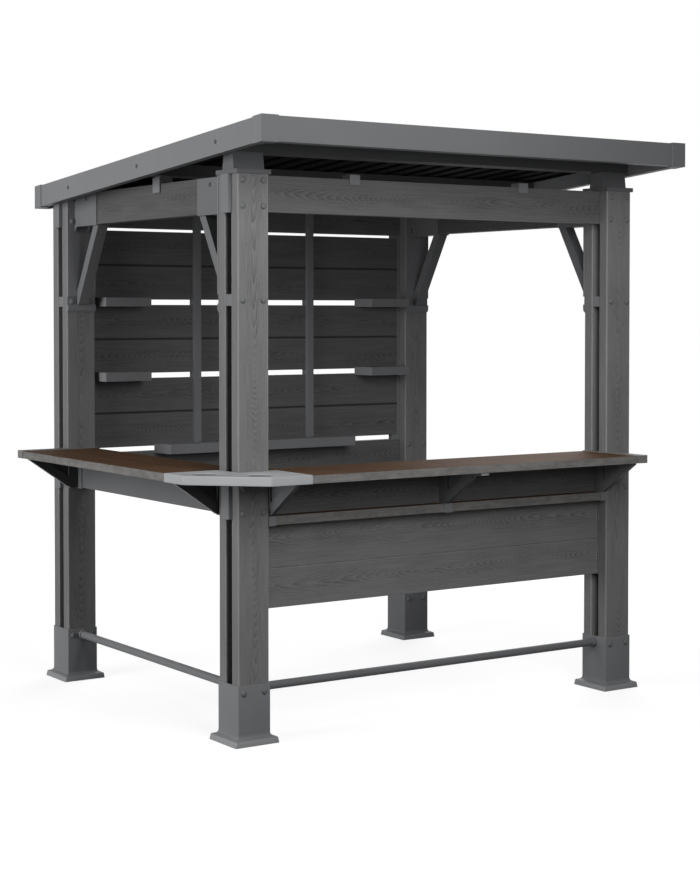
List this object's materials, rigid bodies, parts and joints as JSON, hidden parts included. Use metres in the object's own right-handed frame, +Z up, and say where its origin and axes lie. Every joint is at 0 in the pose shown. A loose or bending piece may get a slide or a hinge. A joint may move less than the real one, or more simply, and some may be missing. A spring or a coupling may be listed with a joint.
{
  "type": "garden bar gazebo",
  "caption": "Garden bar shelter with double-plank posts, a sloped flat roof, an L-shaped bar counter with a corner cup tray, foot rails and a slatted back wall with shelves.",
  "frame": {"origin": "middle of the bounding box at floor level", "axes": "+Z up, -Y towards the front counter, +X towards the open entry side"},
  "size_m": [2.371, 2.046, 2.4522],
  "materials": {
    "grained_board": "embossed wood grain, matt grey",
    "grey_metal": "smooth satin grey powder coat",
    "fascia_metal": "smooth satin grey powder coat",
    "roof_metal": "dark grey coated ribbed sheet",
    "counter_board": "brown wood-look boards with grey grained edges",
    "counter_trim": "satin grey powder coat",
    "tray": "light grey, smooth"
  },
  "bodies": {
    "root": {"post_front_left": "grained_board", "post_front_right": "grained_board", "post_back_left": "grained_board", "post_back_right": "grained_board", "post_spacers": "grey_metal", "post_bases": "grey_metal", "post_caps": "grey_metal", "front_beam": "grained_board", "back_beam": "grained_board", "counter_beam_front": "grained_board", "counter_beam_back": "grained_board", "beam_end_caps": "grey_metal", "left_beam": "grained_board", "right_beam": "grained_board", "side_beam_brackets": "grey_metal", "brace_plates": "grey_metal", "knee_braces": "grey_metal", "beam_clips": "grey_metal", "beam_straps": "grey_metal", "purlins": "roof_metal", "roof_sheet": "roof_metal", "fascia_front": "fascia_metal", "fascia_back": "fascia_metal", "fascia_left": "fascia_metal", "fascia_right": "fascia_metal", "fascia_corners": "fascia_metal", "front_counter": "counter_board", "left_counter": "counter_board", "corner_tray": "tray", "counter_end_trims": "counter_trim", "front_brackets": "grey_metal", "left_brackets": "grey_metal", "left_apron": "grey_metal", "apron_ends": "grey_metal", "front_panel": "grained_board", "front_ledge": "counter_board", "ledge_caps": "grey_metal", "front_foot_rail": "grey_metal", "left_foot_rail": "grey_metal", "wall_boards": "grained_board", "wall_trims": "grey_metal", "wall_uprights": "grey_metal", "small_shelves": "grey_metal", "long_shelf": "grey_metal"}
  },
  "joints": []
}
